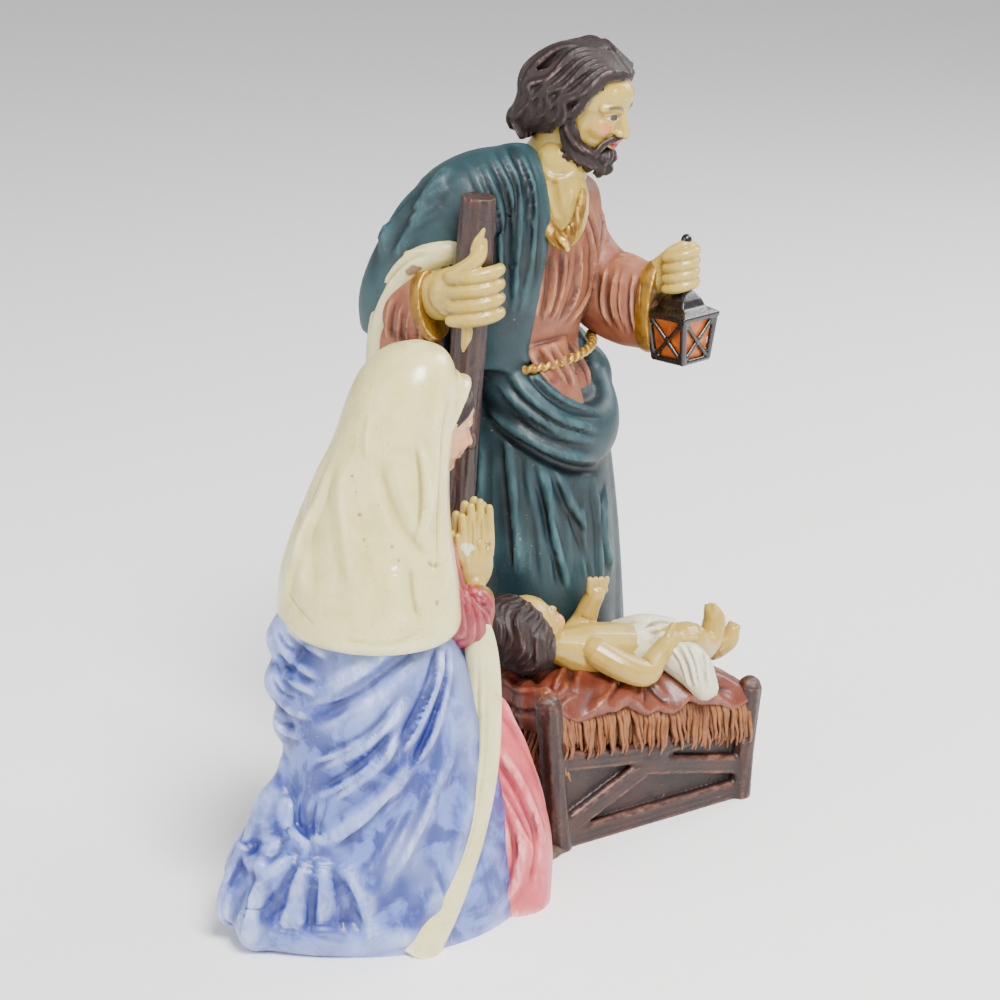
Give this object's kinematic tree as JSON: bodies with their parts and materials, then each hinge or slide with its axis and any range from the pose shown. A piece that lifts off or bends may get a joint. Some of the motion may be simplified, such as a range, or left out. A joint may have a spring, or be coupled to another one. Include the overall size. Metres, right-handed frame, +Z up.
{
  "type": "nativity figurine group",
  "caption": "One-piece painted resin nativity group: a woman kneels with joined hands beside an infant on a straw-filled manger, and a man stands behind with a staff and a lantern.",
  "frame": {"origin": "middle of the group's bounding box, at the height of its flat underside", "axes": "+Z up; -Y is the group's front, with the kneeling woman at -X and the manger's foot end at +X; +Y is behind the standing man"},
  "size_m": [0.1745, 0.1034, 0.2144],
  "materials": {
    "painted_resin": "hand-painted stone-filled resin under a thin satin varnish, glossier on the veil and the skin"
  },
  "bodies": {
    "root": {"nativity_group": "painted_resin"}
  },
  "joints": []
}
